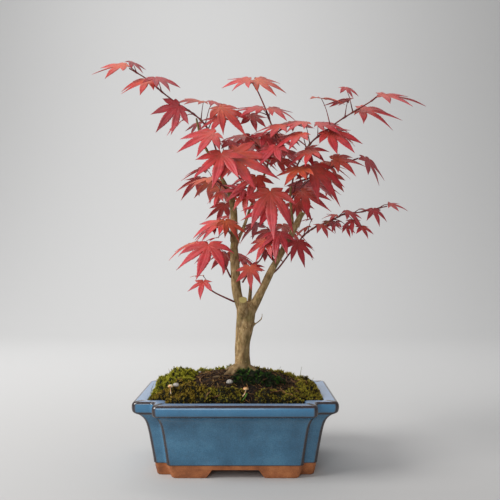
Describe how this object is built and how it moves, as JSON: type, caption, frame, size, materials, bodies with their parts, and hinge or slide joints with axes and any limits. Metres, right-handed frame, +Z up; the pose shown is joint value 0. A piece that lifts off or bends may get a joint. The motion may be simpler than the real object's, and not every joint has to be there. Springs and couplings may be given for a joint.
{
  "type": "potted maple bonsai",
  "caption": "Small red-leaved maple with a forked trunk, growing from a mossy soil mound in a glazed rectangular pot with indented corners.",
  "frame": {"origin": "under the middle of the whole box, on the surface that the pot's feet stand on", "axes": "+Z up along the trunk, X along the pot's long side, front faces -Y"},
  "size_m": [0.3452, 0.1668, 0.4183],
  "materials": {
    "pot_glaze": "glossy steel-blue glaze over brown clay, foot left bare",
    "screen_plastic": "black moulded mesh",
    "drain_wire": "brown anodised soft wire",
    "soil": "crumbly dark potting soil with root fibres",
    "moss_bright": "bright yellow-green cushion moss",
    "moss_olive": "olive and golden cushion moss",
    "moss_dark": "dark green moss",
    "pebble": "smooth pale grey pebble",
    "mushroom": "beige toadstool",
    "bark": "smooth olive-tan maple bark with darker streaks",
    "leaf_red": "thin satin red maple leaves on red stalks"
  },
  "bodies": {
    "root": {"drain_screen_left": "screen_plastic", "drain_screen_right": "screen_plastic", "drain_wire_left": "drain_wire", "drain_wire_right": "drain_wire", "leaves_back_left": "leaf_red", "leaves_back_low": "leaf_red", "leaves_back_middle": "leaf_red", "leaves_back_right": "leaf_red", "leaves_back_top": "leaf_red", "leaves_centre": "leaf_red", "leaves_fork": "leaf_red", "leaves_front": "leaf_red", "leaves_inner": "leaf_red", "leaves_left": "leaf_red", "leaves_left_front": "leaf_red", "leaves_left_low": "leaf_red", "leaves_left_middle": "leaf_red", "leaves_limb": "leaf_red", "leaves_right": "leaf_red", "leaves_right_inner": "leaf_red", "leaves_right_low": "leaf_red", "leaves_top": "leaf_red", "leaves_upper_left": "leaf_red", "leaves_upper_right": "leaf_red", "moss_back_left": "moss_bright", "moss_back_right": "moss_olive", "moss_centre_dark": "moss_dark", "moss_front": "moss_olive", "moss_left_bright": "moss_bright", "moss_left_gold": "moss_olive", "moss_right_front": "moss_olive", "moss_right_side": "moss_olive", "mushroom_centre": "mushroom", "mushroom_left": "mushroom", "pebble_back": "pebble", "pebble_centre": "pebble", "pebble_left": "pebble", "pot": "pot_glaze", "soil": "soil", "trunk": "bark"}
  },
  "joints": []
}
